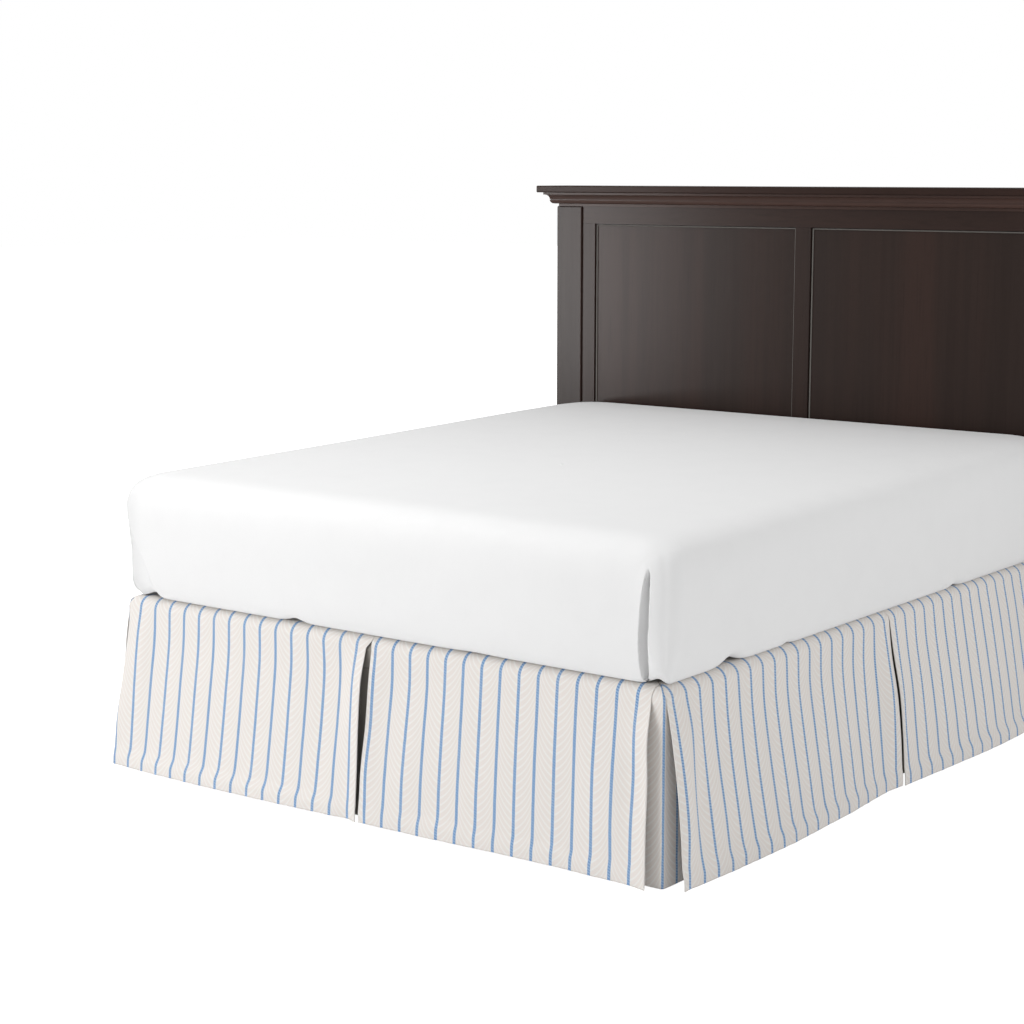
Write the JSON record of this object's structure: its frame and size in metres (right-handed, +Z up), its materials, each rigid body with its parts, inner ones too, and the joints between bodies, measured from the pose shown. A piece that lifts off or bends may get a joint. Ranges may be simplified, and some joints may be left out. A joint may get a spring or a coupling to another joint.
{
  "type": "bed skirt on a bed",
  "caption": "Tailored split-corner bed skirt of striped cloth, hanging straight from the base of a bed that has a mattress and a panelled headboard.",
  "frame": {"origin": "on the floor, under the middle of the whole bed with its headboard", "axes": "+Z up, +Y from the bed's foot to its headboard, +X to the right of someone who stands at the foot and looks at the headboard"},
  "size_m": [1.873, 2.1045, 1.4323],
  "materials": {
    "skirt_cloth": "matt woven cotton, cream with narrow blue stripes and a fine feather weave",
    "sheet_cloth": "matt white cotton sheet",
    "headboard_wood": "satin dark brown stain",
    "base_wood": "matt dark brown stain"
  },
  "bodies": {
    "root": {"foot_panel_left": "skirt_cloth", "foot_panel_right": "skirt_cloth", "side_panel_left_foot": "skirt_cloth", "side_panel_left_head": "skirt_cloth", "side_panel_right_foot": "skirt_cloth", "side_panel_right_head": "skirt_cloth", "corner_insert_left": "skirt_cloth", "corner_insert_right": "skirt_cloth", "deck": "skirt_cloth", "mattress": "sheet_cloth", "base_top_board": "base_wood", "base_board_foot": "base_wood", "base_board_head": "base_wood", "base_board_left": "base_wood", "base_board_right": "base_wood", "base_beam": "base_wood", "head_post_left": "headboard_wood", "head_post_right": "headboard_wood", "head_rail_top": "headboard_wood", "head_rail_low": "headboard_wood", "head_stile_left": "headboard_wood", "head_stile_centre": "headboard_wood", "head_stile_right": "headboard_wood", "head_panel_left": "headboard_wood", "head_panel_right": "headboard_wood", "head_cornice": "headboard_wood", "head_cap": "headboard_wood"}
  },
  "joints": []
}
